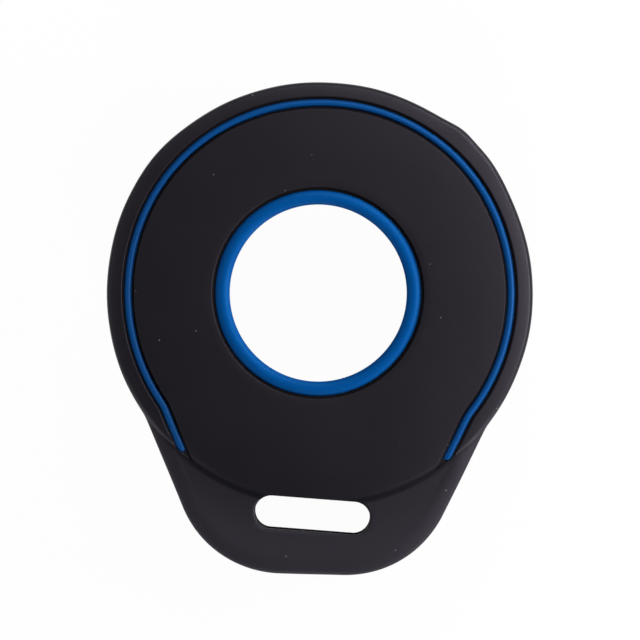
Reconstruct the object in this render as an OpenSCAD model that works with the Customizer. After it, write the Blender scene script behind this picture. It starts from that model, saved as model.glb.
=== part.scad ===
// Soft rubber cover for a round key fob: a hollow sleeve with a window, a blue window ring,
// a blue accent line and a tab with a key ring slot.
// Millimetres. The origin is the disc's centre on the back face, +Z points out of the front
// face and -Y points towards the tab.

/* [Disc] */
// Radius of the disc's outline
disc_r = 25; // [24:0.5:28]
// Height of the crowned front face over the disc's centre
face_h = 13.2; // [12:0.1:15]
// Radius of the front face's crown
crown_r = 345; // [250:5:600]
// Rounding of the disc's front edge
rim_round = 0.9; // [0.5:0.1:1.5]
// Rounding of the back edge, all the way round
back_round = 1.2; // [0.6:0.1:1.4]

/* [Tab] */
// How far the tab reaches below the disc's edge
tab_drop = 7.95; // [7:0.05:10]
// Lean of each tab side from straight down, in degrees
tab_lean = 24.33; // [18:0.01:27]
// How far the line of each tab side runs inside the disc's edge
tab_tuck = 0.56; // [0.2:0.02:1.2]
// Radius of the tab's two lower corners
tab_corner_r = 12.74; // [9:0.02:13.5]
// Drop from the disc's rim to the tab's front face
tab_step = 0.75; // [0.5:0.05:1.2]
// Rounding of the tab's front edge
tab_round = 1.8; // [0.4:0.1:2]

/* [Walls] */
// Thickness of the front wall
front_wall = 1.7; // [1.4:0.1:2.2]
// Thickness of the side wall
side_wall = 1.8; // [1.4:0.1:2.4]
// Thickness of the back wall
back_wall = 1.5; // [1.2:0.1:2.2]
// Rounding of the pocket's inner corners
pocket_round = 1; // [0.5:0.1:1.8]
// Radius of the mouth in the back wall
mouth_r = 17; // [14:0.5:20]
// Rounding of the mouth's outer edge
mouth_round = 0.3; // [0.2:0.1:0.9]

/* [Window] */
// Radius of the clear window inside the blue ring
window_r = 10.38; // [8:0.02:12]
// Width of the blue ring, seen from the front
ring_band = 1.7; // [1.3:0.02:2.2]
// Rounding of the ring's front edge at the window
ring_in_round = 0.35; // [0.2:0.05:0.45]
// Rounding of the ring's front edge at its seat
ring_out_round = 0.65; // [0.4:0.05:0.75]
// Wall of the ring's neck, which lines the window
neck_wall = 0.8; // [0.6:0.05:1]
// Open gap between the ring and the edge of its seat
ring_gap = 0.34; // [0.2:0.02:0.6]
// Depth of the ring's seat below the face
seat_depth = 0.9; // [0.6:0.05:1.1]
// How far the ring's top lies below the face
ring_drop = 0.05; // [0:0.01:0.2]
// Clearance between the ring's neck and its hole
neck_gap = 0.05; // [0.02:0.01:0.15]

/* [Accent line] */
// Distance from the outline to the middle of the accent line
line_inset = 2.52; // [2.1:0.02:3]
// Width of the groove
groove_w = 1.4; // [1.25:0.05:1.8]
// Width of the blue bead in the groove
bead_w = 1.15; // [0.8:0.05:1.2]
// How far the bead's top lies below the face
bead_drop = 0.08; // [0.04:0.01:0.25]
// Radius of the bend between the line's arc and its straight ends
bend_r = 6; // [3:0.5:9]
// How far the bead's tips stop short of the line where the rim meets the tab
bead_short = 0.64; // [0.2:0.02:1]

/* [Key ring slot] */
// Length of the slot
slot_l = 13.8; // [10:0.1:16]
// Width of the slot
slot_w = 4.3; // [3:0.1:5]
// Distance from the tab's lower end up to the slot's middle
slot_up = 6.77; // [5.8:0.01:7.2]
// Tilt of the slot, in degrees, with its right end lower
slot_skew = 2.5; // [0:0.1:4]
// Rounding of the slot's edges
slot_round = 0.5; // [0.2:0.1:0.9]

/* [Hidden] */
$fn = 96;
// Facets of the crown's large circle in the preview
crown_fn = 720;
// Flats round a tab corner, a slot end, a rounded edge and the bead's dome
corner_parts = 12;
slot_parts = 16;
round_parts = 5;
dome_parts = 6;
// Flats along the accent line's half arc, its bend and its straight end
arc_parts = 32;
bend_parts = 3;
run_parts = 4;
// How far the round of the bead's tips turns in, in degrees, before a small flat closes it
tip_turn = 75;
// How far every cut runs past the surface that it opens
overrun = 1;

// Unit vector at an angle
function polar(a) = [cos(a), sin(a)];
// Values from one to another in even steps, with both ends
function steps(from, to, parts) = [for (i = [0 : parts]) from + (to - from) * i / parts];
// A list backwards, a list without its first value, and a point mirrored to the other side
function backwards(list) = [for (i = [len(list) - 1 : -1 : 0]) list[i]];
function rest(list) = [for (i = [1 : len(list) - 1]) list[i]];
function mirrored(p) = [-p[0], p[1]];

// Centre of the crown's arc, on the disc's axis
crown_z = face_h - crown_r;
// Height of the crowned face at a distance r from the axis, lowered by drop
function face_z(r, drop = 0) = crown_z + sqrt(pow(crown_r - drop, 2) - pow(r, 2));
// Height of the centre of a rounding that joins the lowered crown to a wall at radius r
function round_z(r, round, drop = 0) =
    crown_z + sqrt(pow(crown_r - drop - round, 2) - pow(r - round, 2));

// Centre of the rim's rounding, its top, and the tab's front face below that
rim_x = disc_r - rim_round;
rim_z = round_z(disc_r, rim_round);
tab_top = rim_z + rim_round - tab_step;
// Radius at which the rim meets the tab's front face
crease_r = rim_x + sqrt(pow(rim_round, 2) - pow(max(rim_round - tab_step, 0), 2));
// Height of the front at a distance r from the axis: the crown, then the rim's rounding
function front_z(r) = r < rim_x ? face_z(r) : rim_z + sqrt(pow(rim_round, 2) - pow(r - rim_x, 2));

// Distances from the disc's centre to the tab's lower end, to the line of each of its sides
// and to the slot's middle
tab_reach = disc_r + tab_drop;
tab_side = disc_r - tab_tuck;
slot_drop = tab_reach - slot_up;
// Directions out of and up along the tab's right side
side_out = polar(-tab_lean);
side_up = polar(90 - tab_lean);
// Centre of the tab's right lower corner
corner_y = tab_corner_r - tab_reach;
corner_x = (tab_side - tab_corner_r + corner_y * sin(tab_lean)) / cos(tab_lean);
corner = [corner_x, corner_y];
// Length of the tab's straight side, up to the point that is nearest the disc's centre
side_run = -corner * side_up;

// The accent line's arc, the centres of its bends and the start of its straight ends
line_r = disc_r - line_inset;
line_side = tab_side - line_inset;
bend_down = sqrt(pow(line_r + bend_r, 2) - pow(line_side + bend_r, 2));
bend = (line_side + bend_r) * side_out - bend_down * side_up;
arc_end = atan2(bend[1], bend[0]);
line_start = line_side * side_out - bend_down * side_up;
// Distance from the disc's centre to the bead's tips
bead_reach = crease_r - bead_short;
// Length of a straight end that reaches a distance r from the disc's centre
function run_to(r) = sqrt(pow(r, 2) - pow(line_side, 2)) - bend_down;

// The ring's outer edge and neck, the height of its seat and the heights of its two ends
ring_r = window_r + ring_band;
neck_r = window_r + neck_wall;
seat_r = ring_r + ring_gap;
seat_z = face_z(seat_r) - seat_depth;
neck_low = face_z(neck_r, front_wall);
ring_top = face_z(ring_r) - ring_drop;

// Distance of the slot's two end centres from its middle
slot_end = (slot_l - slot_w) / 2;

// Solid whose surface runs through a stack of rings of as many points each
module skin(rings) {
    n = len(rings[0]);
    last = (len(rings) - 1) * n;
    bands = [for (k = [0 : n : last - n]) for (i = [0 : n - 1]) let (j = (i + 1) % n)
        [k + i, k + j, k + n + j, k + n + i]];
    caps = [[for (i = [n - 1 : -1 : 0]) i], [for (i = [0 : n - 1]) last + i]];
    polyhedron([for (ring = rings) for (p = ring) p], concat(bands, caps), convexity = 8);
}

// An outline lifted to a height
function lifted(outline, z) = [for (p = outline) [p[0], p[1], z]];

// Half section of a crowned disc that stands at height low, for turning about its axis
module disc_section(r, low, drop, top_round, low_round) {
    arc_r = crown_r - drop;
    top_z = round_z(r, top_round, drop);
    intersection() {
        translate([0, crown_z]) circle(arc_r, $fn = crown_fn);
        translate([0, low]) square([(r - top_round) * arc_r / (arc_r - top_round), face_h - low]);
    }
    translate([r - top_round, top_z]) circle(top_round);
    translate([0, low + low_round]) square([r, top_z - low - low_round]);
    translate([r - low_round, low + low_round]) circle(low_round);
    translate([0, low]) square([r - low_round, low_round]);
}

// Outline of the tab, drawn in by inset: down the right side, round both corners, up the left
function tab_outline(inset) = let (
    w = tab_corner_r - inset,
    right = concat(
        [corner + side_run * side_up + w * side_out],
        [for (a = steps(-tab_lean, -90, corner_parts)) corner + w * polar(a)]
    )
) concat(right, [for (p = backwards(right)) mirrored(p)]);

// The tab's block, drawn in by inset, with its lower and upper edges rounded
module tab_block(inset, low, top, top_round, low_round) {
    skin(concat(
        [for (a = steps(0, 90, round_parts))
            lifted(tab_outline(inset + low_round * (1 - sin(a))), low + low_round * (1 - cos(a)))],
        [for (a = steps(90, 0, round_parts))
            lifted(tab_outline(inset + top_round * (1 - sin(a))), top - top_round * (1 - cos(a)))]
    ));
}

// The sleeve's outer form: the crowned disc and the tab
module outer_form() {
    rotate_extrude() disc_section(disc_r, 0, 0, rim_round, back_round);
    tab_block(0, 0, tab_top, tab_round, back_round);
}

// The space for the fob: the outer form, drawn in by the walls
module pocket() {
    rotate_extrude()
        disc_section(disc_r - side_wall, back_wall, front_wall, pocket_round, pocket_round);
    tab_block(side_wall, back_wall, tab_top - front_wall, pocket_round, pocket_round);
}

// The round mouth in the back wall, with its outer edge rounded
module mouth() {
    translate([0, 0, -overrun]) cylinder(h = back_wall + 2 * overrun, r = mouth_r);
    rotate_extrude() difference() {
        translate([0, -overrun]) square([mouth_r + mouth_round, mouth_round + overrun]);
        translate([mouth_r + mouth_round, mouth_round]) circle(mouth_round);
    }
}

// The window's hole and the wider seat of the blue ring
module window_seat() {
    translate([0, 0, neck_low - overrun])
        cylinder(h = seat_z - neck_low + 2 * overrun, r = neck_r + neck_gap);
    translate([0, 0, seat_z]) cylinder(h = seat_depth + overrun, r = seat_r);
}

// The accent line's right half, from the top down: place, outward angle and share of the width
function half_line(run) = concat(
    [for (a = steps(90, arc_end, arc_parts)) [line_r * polar(a), a, 1]],
    [for (a = rest(steps(arc_end, -tab_lean, bend_parts))) [bend - bend_r * polar(a), a, 1]],
    [for (t = rest(steps(0, run, run_parts))) [line_start - t * side_up, -tab_lean, 1]]
);

// The whole line, from the right end over the top to the left end
function whole_line(half) = concat(
    backwards(rest(half)),
    [for (s = half) [mirrored(s[0]), 180 - s[1], s[2]]]
);

// The groove's floor is level with the tab, so that both ends run out onto it
module accent_groove() {
    line = whole_line(half_line(run_to(disc_r)));
    translate([0, 0, tab_top]) linear_extrude(face_h + overrun - tab_top) polygon(concat(
        [for (s = line) s[0] + groove_w / 2 * polar(s[1])],
        [for (s = backwards(line)) s[0] - groove_w / 2 * polar(s[1])]
    ));
}

// Outline of the slot about its own middle, widened by flare
function slot_outline(flare) = let (
    right = [for (a = steps(90, -90, slot_parts)) [slot_end, 0] + (slot_w / 2 + flare) * polar(a)]
) concat(right, -right);

// Rings of the slot's rounded edge, from where it is widest, on a face at height z. The wall lies
// above the face where side is 1, and below it where side is -1
function flare_rings(z, side) = concat(
    [lifted(slot_outline(slot_round), z - side * overrun)],
    [for (a = steps(0, 90, round_parts))
        lifted(slot_outline(slot_round * (1 - sin(a))), z + side * slot_round * (1 - cos(a)))]
);

// The slot for the key ring, through the tab's back and front walls
module ring_slot() {
    translate([0, -slot_drop, 0]) rotate(-slot_skew)
        skin(concat(flare_rings(0, 1), [lifted(slot_outline(0), face_h + overrun)]));
    // In front only the tab's own edge is rounded, and the disc's rim above it stays crisp
    difference() {
        translate([0, -slot_drop, 0]) rotate(-slot_skew) skin(backwards(flare_rings(tab_top, -1)));
        cylinder(h = face_h + overrun, r = crease_r);
    }
}

// Black sleeve: front wall, side wall, back lip and tab in one moulding
module cover_body() {
    color("#232127") difference() {
        outer_form();
        pocket();
        mouth();
        window_seat();
        accent_groove();
        ring_slot();
    }
}

// Blue ring that lines the window, with its neck through the front wall
module window_ring() {
    in_h = ring_top - ring_in_round;
    out_h = ring_top - ring_out_round;
    in_x = window_r + ring_in_round;
    out_x = ring_r - ring_out_round;
    color("#04559a") rotate_extrude() {
        translate([window_r, neck_low]) square([neck_wall, in_h - neck_low]);
        translate([window_r, seat_z]) square([ring_band, out_h - seat_z]);
        translate([window_r, seat_z]) square([out_x - window_r, in_h - seat_z]);
        translate([in_x, seat_z]) square([out_x - in_x, ring_top - seat_z]);
        translate([in_x, in_h]) circle(ring_in_round);
        intersection() {
            translate([out_x, out_h]) circle(ring_out_round);
            translate([in_x, seat_z]) square([ring_r - in_x, ring_top - seat_z]);
        }
    }
}

// Section of the bead at a station of the line: flat foot, upright sides and a domed top
function bead_ring(s) = let (
    across = bead_w / 2 * s[2] * polar(s[1]),
    top = front_z(norm(s[0])) - bead_drop,
    dome = min(bead_w / 2, top - tab_top)
) concat(
    lifted([s[0] + across], tab_top),
    [for (a = steps(0, 180, dome_parts)) each lifted([s[0] + cos(a) * across],
        top - dome + dome * s[2] * sin(a))],
    lifted([s[0] - across], tab_top)
);

// Blue bead on the groove's floor, which falls away with the rim to a round tip at each end
module accent_line() {
    run = run_to(bead_reach) - bead_w / 2;
    tip = [for (a = rest(steps(0, tip_turn, dome_parts)))
        [line_start - (run + bead_w / 2 * sin(a)) * side_up, -tab_lean, cos(a)]];
    color("#0b5fa8") skin([for (s = whole_line(concat(half_line(run), tip))) bead_ring(s)]);
}

cover_body();
window_ring();
accent_line();
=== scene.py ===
"""Looks of a soft rubber cover for a round key fob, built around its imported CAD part.

The sizes are the real cover's, in millimetres, and MM turns them into Blender's metres. The origin
is the disc's centre on the back face, +Z points out of the front and -Y towards the tab.
"""

import logging
import math
from collections.abc import Callable
from dataclasses import dataclass, field, replace
from enum import Enum

import bmesh
import bpy
import numpy as np
from mathutils import Matrix, Vector

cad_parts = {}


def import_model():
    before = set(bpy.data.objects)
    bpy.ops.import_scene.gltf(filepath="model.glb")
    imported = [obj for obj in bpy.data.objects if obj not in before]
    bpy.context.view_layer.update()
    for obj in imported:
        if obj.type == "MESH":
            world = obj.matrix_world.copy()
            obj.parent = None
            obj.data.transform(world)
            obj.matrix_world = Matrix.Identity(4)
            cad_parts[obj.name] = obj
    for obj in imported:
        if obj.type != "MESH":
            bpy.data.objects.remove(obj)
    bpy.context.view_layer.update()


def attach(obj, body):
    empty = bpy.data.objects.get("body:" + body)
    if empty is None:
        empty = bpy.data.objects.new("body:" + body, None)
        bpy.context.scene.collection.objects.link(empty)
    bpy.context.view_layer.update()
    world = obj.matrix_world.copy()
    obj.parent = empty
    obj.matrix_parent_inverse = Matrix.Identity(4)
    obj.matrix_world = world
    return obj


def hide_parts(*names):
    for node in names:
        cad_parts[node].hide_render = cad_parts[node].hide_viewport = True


LOG = logging.getLogger("key_fob_cover")
MM = 0.001
BODY = "root"
PHOTO_SIZE = 640
# Points closer together than this, in metres, become one.
MERGE = 1.5e-6
# Largest angle in degrees between faces that shade as one.
SMOOTH_DEG = 34
BEAD_SMOOTH_DEG = 40
# Largest share of a stretch that the rounding of a corner takes up, and where the rounding has points.
CORNER_SHARE = 0.45
CORNER_STEPS = (0.25, 0.5, 0.75)
# Points of a rounded edge before they are spaced evenly.
ROUND_STEPS = 16
FINE_STEPS = 24
WHITE = (1, 1, 1, 1)

Point = tuple[float, float]
Span = tuple[float, float]
Colour = tuple[int, int, int]
Given = bpy.types.NodeSocket | float | tuple


class Slot(Enum):
    """Material slots of the record."""

    BLACK = "black_rubber"
    BLUE = "blue_rubber"


class Side(Enum):
    """Which wall of the groove a ray crosses."""

    INNER = -1
    OUTER = 1


def polar(angle: float) -> np.ndarray:
    """Unit vector at an angle in radians."""
    return np.array([math.cos(angle), math.sin(angle)])


def blend_max(a: float, b: float, soft: float) -> float:
    """The larger of two values, with a soft passage where they are about equal.

    Args:
        a: First value.
        b: Second value.
        soft: Width of the passage, in the values' own unit.

    Returns:
        The softened maximum.
    """
    return (a + b + math.sqrt((a - b) ** 2 + soft**2)) / 2


def smooth_step(low: float, high: float, value: np.ndarray) -> np.ndarray:
    """Rises from 0 at low to 1 at high without a kink.

    Args:
        low: Where the rise starts.
        high: Where it ends.
        value: Values to look up.

    Returns:
        The rise at each value.
    """
    share = np.clip((value - low) / (high - low), 0, 1)
    return share * share * (3 - 2 * share)


def rounding(radius: float, turn: float) -> Point:
    """One point of a rounded edge.

    Args:
        radius: Radius of the rounding.
        turn: How far the edge has turned away from the face, in radians.

    Returns:
        How far the point is drawn in from the side, and how far it lies off the face.
    """
    return radius * (1 - math.sin(turn)), radius * (1 - math.cos(turn))


@dataclass(frozen=True)
class Disc:
    """Form of the round part: a crowned face that joins its side over a rounded rim."""

    radius: float = 25.0
    face_h: float = 13.2
    crown_r: float = 345.0
    rim_round: float = 0.65
    back_round: float = 1.2
    top_h: float = 13.027
    fall: float = 0.74
    fall_power: float = 4.0
    fall_r: float = 24.2
    land_r: float = 22.6
    land_slope: float = 0.11
    land_soft: float = 0.6
    slope_step: float = 0.2

    def crown(self, r: float) -> float:
        """Height of the front inside its rim's rounding, where the land outside the groove leans more.

        Args:
            r: Distance from the axis.

        Returns:
            The height over the back face.
        """
        land = blend_max(0.0, r - self.land_r, self.land_soft) * self.land_slope
        return self.top_h - self.fall * (r / self.fall_r) ** self.fall_power - land

    @property
    def crown_z(self) -> float:
        """Height of the crown's centre, far below the back."""
        return self.face_h - self.crown_r

    @property
    def rim_x(self) -> float:
        """Radius of the circle on which the rim's rounding is centred."""
        return self.radius - self.rim_round

    @property
    def rim_slope(self) -> float:
        """Slope of the front, in radians, where it passes into the rim's rounding."""
        fall = self.crown(self.rim_x) - self.crown(self.rim_x + self.slope_step)
        return math.atan(fall / self.slope_step)

    @property
    def rim_join(self) -> float:
        """Radius at which the front passes into the rim's rounding."""
        return self.rim_x + self.rim_round * math.sin(self.rim_slope)

    @property
    def rim_z(self) -> float:
        """Height of the centre of the rim's rounding."""
        return self.crown(self.rim_join) - self.rim_round * math.cos(self.rim_slope)

    def face_z(self, r: float, drop: float = 0.0) -> float:
        """Height of the crown.

        Args:
            r: Distance from the axis.
            drop: How far the crown is lowered.

        Returns:
            The height over the back face.
        """
        return self.crown_z + math.sqrt((self.crown_r - drop) ** 2 - r**2)

    def front_z(self, r: float) -> float:
        """Height of the front, crown and rim, at a distance from the axis."""
        if r <= self.rim_join:
            return self.crown(r)
        out = min(r - self.rim_x, self.rim_round)
        return self.rim_z + math.sqrt(self.rim_round**2 - out**2)

    def rim_r(self, z: float) -> float:
        """Radius of the disc at a height."""
        up = z - self.rim_z
        if up <= 0:
            return self.radius
        return self.rim_x + math.sqrt(max(self.rim_round**2 - up**2, 0.0))


@dataclass(frozen=True)
class Tab:
    """Outline of the tab: two leaning sides, two round corners and a straight lower end."""

    reach: float = 32.95
    lean: float = math.radians(24.33)
    side: float = 24.44
    corner_r: float = 12.74
    edge_round: float = 0.5
    edge_lean: float = 1.7
    edge_slope: float = math.radians(19)
    least_down: float = 0.9

    @property
    def turn_in(self) -> float:
        """How far the edge's round corner is drawn in where the lean passes into it."""
        return rounding(self.edge_round, self.edge_slope)[0]

    def edge_profile(self) -> list[Point]:
        """The face's edge: a gentle lean and then a small round corner.

        Returns:
            How far each point is drawn in from the outline, and how far it lies below the face.
        """
        low = self.edge_lean * math.tan(self.edge_slope) / 2
        shares = np.linspace(0, 1, ROUND_STEPS)
        edge = [(self.turn_in + self.edge_lean * (1 - t), low * t * t) for t in shares]
        for turn in np.linspace(self.edge_slope, math.pi / 2, ROUND_STEPS)[1:]:
            drop = low + self.edge_round * (math.cos(self.edge_slope) - math.cos(turn))
            edge.append((rounding(self.edge_round, turn)[0], drop))
        return edge

    @property
    def corner(self) -> np.ndarray:
        """Centre of the right lower corner."""
        y = self.corner_r - self.reach
        x = (self.side - self.corner_r + y * math.sin(self.lean)) / math.cos(self.lean)
        return np.array([x, y])

    def reach_at(self, angle: float, inset: float) -> float:
        """Distance from the disc's centre to the outline, along a ray.

        Args:
            angle: Direction of the ray, in radians.
            inset: How far the outline is drawn in.

        Returns:
            The distance, or 0 where the ray passes above the tab's sides.
        """
        right, down = abs(math.cos(angle)), -math.sin(angle)
        if down <= math.sin(self.lean) * self.least_down:
            return 0.0
        corner, width = self.corner, self.corner_r - inset
        down_of = math.atan2(down, right)
        side_end = corner + width * polar(-self.lean)
        foot_end = corner - np.array([0, width])
        if down_of >= math.atan2(-foot_end[1], foot_end[0]):
            return (self.reach - inset) / down
        if down_of >= math.atan2(-side_end[1], side_end[0]):
            along = corner[0] * right - corner[1] * down
            return along + math.sqrt(along**2 - corner @ corner + width**2)
        return (self.side - inset) / (right * math.cos(self.lean) + down * math.sin(self.lean))


@dataclass(frozen=True)
class AccentPath:
    """Route of the accent line: an arc that leaves the circle over a bend to run beside the tab."""

    disc: Disc
    tab: Tab
    inset: float = 2.52
    bend_r: float = 6.0
    least_cosine: float = 0.3
    arc_steps: int = 96
    bend_steps: int = 9
    run_steps: int = 12
    tip_steps: int = 9

    @property
    def arc_r(self) -> float:
        """Radius of the arc."""
        return self.disc.radius - self.inset

    @property
    def side(self) -> float:
        """Distance from the disc's centre to the line of a straight end."""
        return self.tab.side - self.inset

    @property
    def side_out(self) -> np.ndarray:
        """Direction out of the right straight end."""
        return polar(-self.tab.lean)

    @property
    def side_up(self) -> np.ndarray:
        """Direction up along the right straight end."""
        return polar(math.pi / 2 - self.tab.lean)

    @property
    def bend_down(self) -> float:
        """How far down its line the bend's centre lies."""
        return math.sqrt((self.arc_r + self.bend_r) ** 2 - (self.side + self.bend_r) ** 2)

    @property
    def bend(self) -> np.ndarray:
        """Centre of the right bend."""
        return (self.side + self.bend_r) * self.side_out - self.bend_down * self.side_up

    @property
    def start(self) -> np.ndarray:
        """Where the right straight end starts."""
        return self.side * self.side_out - self.bend_down * self.side_up

    def run_to(self, r: float) -> float:
        """Length of a straight end that reaches a distance r from the disc's centre."""
        return math.sqrt(r**2 - self.side**2) - self.bend_down

    def crossing(self, angle: float, half: float, wall: Side) -> float:
        """Distance from the disc's centre to one wall of the groove, along a ray.

        Args:
            angle: Direction of the ray, in radians.
            half: Half of the groove's width.
            wall: The wall that the ray crosses.

        Returns:
            The distance, which grows without end below the groove's tips.
        """
        direction = np.array([abs(math.cos(angle)), math.sin(angle)])
        lean = math.atan2(direction[1], direction[0])
        off = half * wall.value
        bend_at = math.atan2(self.bend[1], self.bend[0])
        end = self.start + off * self.side_out
        if lean >= bend_at:
            return self.arc_r + off
        if lean >= math.atan2(end[1], end[0]):
            along = self.bend @ direction
            return along - math.sqrt(along**2 - self.bend @ self.bend + (self.bend_r - off) ** 2)
        cosine = math.cos(lean + self.tab.lean)
        return (self.side + off) / cosine if cosine > self.least_cosine else math.inf

    def stations(self, run: float, tip: float, blunt: float) -> list[tuple[np.ndarray, float, float]]:
        """Stations from the right tip over the top to the left tip.

        Args:
            run: Length of the straight ends without their rounded tips.
            tip: Length over which the tips are rounded.
            blunt: Share of the width that is left at the very end.

        Returns:
            Place, outward angle and share of the full width, for each station.
        """
        bend_at = math.atan2(self.bend[1], self.bend[0])
        half: list[tuple[np.ndarray, float, float]] = []
        for a in np.linspace(math.pi / 2, bend_at, self.arc_steps):
            half.append((self.arc_r * polar(a), a, 1.0))
        for a in np.linspace(bend_at, -self.tab.lean, self.bend_steps)[1:]:
            half.append((self.bend - self.bend_r * polar(a), a, 1.0))
        for t in np.linspace(0, run, self.run_steps)[1:]:
            half.append((self.start - t * self.side_up, -self.tab.lean, 1.0))
        for a in np.linspace(0, math.pi / 2, self.tip_steps)[1:]:
            place = self.start - (run + tip * math.sin(a)) * self.side_up
            half.append((place, -self.tab.lean, blunt + (1 - blunt) * math.cos(a)))
        mirrored = [(np.array([-p[0], p[1]]), math.pi - a, w) for p, a, w in half[1:]]
        return half[::-1] + mirrored


@dataclass(frozen=True)
class Swell:
    """One place where the soft moulding is a little out of round.

    It lies at a direction in degrees, spreads over some degrees and is some millimetres high.
    """

    at: float
    spread: float
    height: float

    def lift(self, angle: float) -> float:
        """How far the form moves out at an angle, in millimetres."""
        turn = (math.degrees(angle) - self.at + 180) % 360 - 180
        return self.height * math.exp(-((turn / self.spread) ** 2))


@dataclass(frozen=True)
class SoftForm:
    """How the unworn soft cover departs from a true circle, seen from the front."""

    plan: tuple[Swell, ...] = (
        Swell(143, 30, 0.17),
        Swell(42, 24, 0.16),
        Swell(92, 13, -0.06),
    )
    wall: tuple[Swell, ...] = (
        Swell(142, 11, 0.12),
        Swell(42, 9, 0.3),
        Swell(51, 4.5, 0.3),
        Swell(100, 24, -0.1),
    )
    ripple: float = 0.03
    waves: tuple[tuple[int, float, float], ...] = ((7, 1.9, 0.8), (17, 4.0, 0.4))
    window_off: Point = (-0.19, 0.11)
    plan_zone: Span = (18.0, 22.0)
    wall_zone: Span = (23.9, 25.0)
    window_zone: Span = (13.0, 20.0)
    front_zone: Span = (8.5, 10.5)

    def plan_shift(self, angle: float) -> float:
        """Shift of the whole form away from the axis."""
        return sum(swell.lift(angle) for swell in self.plan)

    def window_shift(self, angle: float) -> float:
        """Shift of the window's edge along a ray, since the window lies a little off the middle."""
        return float(np.array(self.window_off) @ polar(angle))

    def wall_shift(self, angle: float) -> float:
        """Further shift of the outer wall alone, with the fine unevenness of its edge."""
        fine = sum(share * math.sin(turns * angle + start) for turns, start, share in self.waves)
        return sum(swell.lift(angle) for swell in self.wall) + self.ripple * fine


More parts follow.
